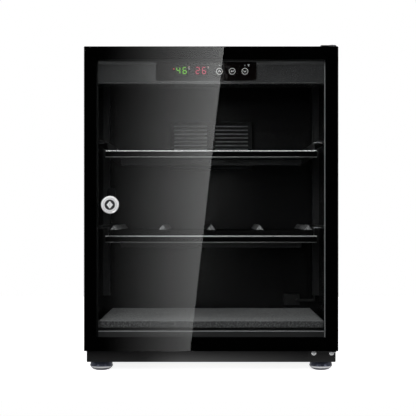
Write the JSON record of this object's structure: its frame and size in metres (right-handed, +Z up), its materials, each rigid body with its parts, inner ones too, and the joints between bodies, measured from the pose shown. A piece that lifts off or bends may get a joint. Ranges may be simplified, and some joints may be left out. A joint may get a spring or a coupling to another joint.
{
  "type": "camera dry cabinet",
  "caption": "Black steel cabinet with a framed glass door, a chrome cam lock, sliding shelves with foam beds, a lit humidity display and a drying unit in its back.",
  "frame": {"origin": "under the middle of the whole object, on the surface that it stands on", "axes": "+X to the right seen from the front, +Y from the door into the cabinet, +Z up"},
  "size_m": [0.4, 0.3796, 0.519],
  "materials": {
    "cabinet_black": "fine black powder coat",
    "fascia_grey": "dark grey satin",
    "runner_grey": "dark grey satin",
    "panel_gloss": "polished black",
    "module_black": "moulded",
    "board_green": "solder mask",
    "digits_green": "lit",
    "digits_red": "lit",
    "lamp": "lit",
    "sensor_white": "moulded",
    "button_black": "polished",
    "trim_black": "black bar with bright beads",
    "foam_grey": "open foam",
    "cradle_grey": "open foam",
    "vent_black": "moulded",
    "desiccant": "granular",
    "heater": "plain",
    "shutter": "plain",
    "spring_steel": "plain",
    "socket_black": "moulded",
    "wire_black": "sleeved",
    "zinc": "zinc plated",
    "screw_black": "blacked",
    "screw_bright": "nickel",
    "glass": "clear, tempered",
    "glass_print": "printed on glass",
    "frame_black": "satin",
    "seal_black": "soft, magnetic",
    "bush_white": "turned",
    "lock_chrome": "polished",
    "washer_black": "plain",
    "foot_metal": "blue black, glossy, on a rubber sole"
  },
  "bodies": {
    "cabinet": {"cabinet_shell": "cabinet_black", "back_panel": "cabinet_black", "base_pan": "cabinet_black", "floor_panel": "cabinet_black", "floor_mat": "foam_grey", "control_fascia": "fascia_grey", "control_housing": "cabinet_black", "display_panel": "panel_gloss", "display_modules": "module_black", "control_board": "board_green", "board_screws": "zinc", "humidity_digits": "digits_green", "temperature_digits": "digits_red", "status_lamps": "lamp", "humidity_sensor": "sensor_white", "uprights_left": "runner_grey", "uprights_right": "runner_grey", "upper_runners": "runner_grey", "lower_runners": "runner_grey", "dry_unit_case": "vent_black", "dry_unit_grille": "vent_black", "dry_unit_cover": "vent_black", "desiccant_pack": "desiccant", "heater_plate": "heater", "power_inlet": "socket_black", "wiring_harness": "wire_black", "foot_nuts": "zinc", "rear_screws": "screw_black", "upper_hinge_bracket": "cabinet_black", "lower_hinge_bracket": "cabinet_black", "hinge_pins": "zinc", "hinge_screws": "screw_bright", "lock_strike": "zinc", "memory_spring": "spring_steel", "bias_spring": "spring_steel"},
    "upper_shelf": {"upper_shelf": "runner_grey", "upper_shelf_trim": "trim_black", "upper_mat": "foam_grey"},
    "lower_shelf": {"lower_shelf": "runner_grey", "lower_shelf_trim": "trim_black", "lens_cradle": "cradle_grey"},
    "shutter": {"shutter_carriage": "shutter"},
    "door": {"door_glass": "glass", "glass_border": "glass_print", "door_frame": "frame_black", "door_gasket": "seal_black", "hinge_bushes": "bush_white", "lock_housing": "lock_chrome", "lock_nut": "zinc", "lock_washer": "washer_black"},
    "lock_cam": {"lock_plug": "lock_chrome", "lock_cam": "lock_chrome"},
    "up_button": {"up_button": "button_black"},
    "set_button": {"set_button": "button_black"},
    "down_button": {"down_button": "button_black"},
    "foot_front_left": {"foot_front_left": "foot_metal"},
    "foot_front_right": {"foot_front_right": "foot_metal"},
    "foot_rear_left": {"foot_rear_left": "foot_metal"},
    "foot_rear_right": {"foot_rear_right": "foot_metal"}
  },
  "joints": [
    {"name": "door_hinge", "type": "hinge", "parent": "cabinet", "child": "door", "pos_m": [0.192, -0.17525, 0.2749], "axis": [0, 0, 1], "range_deg": [0, 120]},
    {"name": "lock_turn", "type": "hinge", "parent": "door", "child": "lock_cam", "pos_m": [-0.159, -0.15955, 0.2654], "axis": [0, -1, 0], "range_deg": [0, 90]},
    {"name": "upper_shelf_slide", "type": "slide", "parent": "cabinet", "child": "upper_shelf", "axis": [0, -1, 0], "range_m": [0, 0.038]},
    {"name": "lower_shelf_slide", "type": "slide", "parent": "cabinet", "child": "lower_shelf", "axis": [0, -1, 0], "range_m": [0, 0.038]},
    {"name": "shutter_slide", "type": "slide", "parent": "cabinet", "child": "shutter", "axis": [0, -1, 0], "range_m": [0, 0.006], "stiffness_N_per_m": 300, "springref_m": -0.003, "deforming": ["memory_spring", "bias_spring"]},
    {"name": "up_press", "type": "slide", "parent": "cabinet", "child": "up_button", "axis": [0, 1, 0], "range_m": [0, 0.0005], "stiffness_N_per_m": 1200, "springref_m": -0.0005},
    {"name": "set_press", "type": "slide", "parent": "cabinet", "child": "set_button", "axis": [0, 1, 0], "range_m": [0, 0.0005], "stiffness_N_per_m": 1200, "springref_m": -0.0005},
    {"name": "down_press", "type": "slide", "parent": "cabinet", "child": "down_button", "axis": [0, 1, 0], "range_m": [0, 0.0005], "stiffness_N_per_m": 1200, "springref_m": -0.0005},
    {"name": "front_left_foot_level", "type": "slide", "parent": "cabinet", "child": "foot_front_left", "axis": [0, 0, -1], "range_m": [0, 0.006]},
    {"name": "front_right_foot_level", "type": "slide", "parent": "cabinet", "child": "foot_front_right", "axis": [0, 0, -1], "range_m": [0, 0.006]},
    {"name": "rear_left_foot_level", "type": "slide", "parent": "cabinet", "child": "foot_rear_left", "axis": [0, 0, -1], "range_m": [0, 0.006]},
    {"name": "rear_right_foot_level", "type": "slide", "parent": "cabinet", "child": "foot_rear_right", "axis": [0, 0, -1], "range_m": [0, 0.006]}
  ]
}
